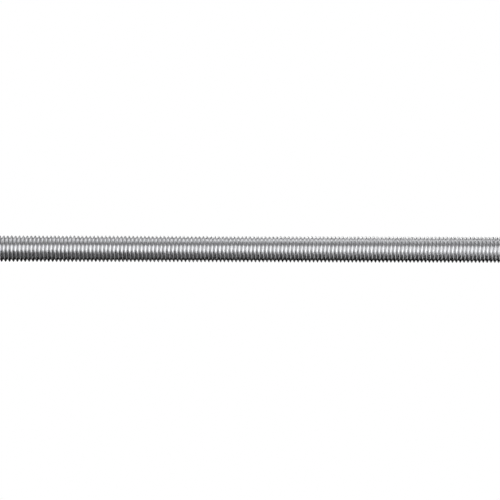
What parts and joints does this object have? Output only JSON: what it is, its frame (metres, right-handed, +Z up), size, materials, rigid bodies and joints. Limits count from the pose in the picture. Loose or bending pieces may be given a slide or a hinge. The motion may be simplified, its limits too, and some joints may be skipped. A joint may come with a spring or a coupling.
{
  "type": "threaded rod",
  "caption": "Straight round steel rod with a right-hand metric thread along its whole length, square-cut and chamfered ends and a bright zinc finish.",
  "frame": {"origin": "middle of the rod's axis, halfway between the two end faces", "axes": "+X along the rod's axis towards its right end, +Z up as the picture shows it"},
  "size_m": [0.25, 0.0118, 0.0118],
  "materials": {
    "zinc_plated_steel": "bright zinc plating on rolled steel, semi-gloss"
  },
  "bodies": {
    "root": {"threaded_rod": "zinc_plated_steel"}
  },
  "joints": []
}
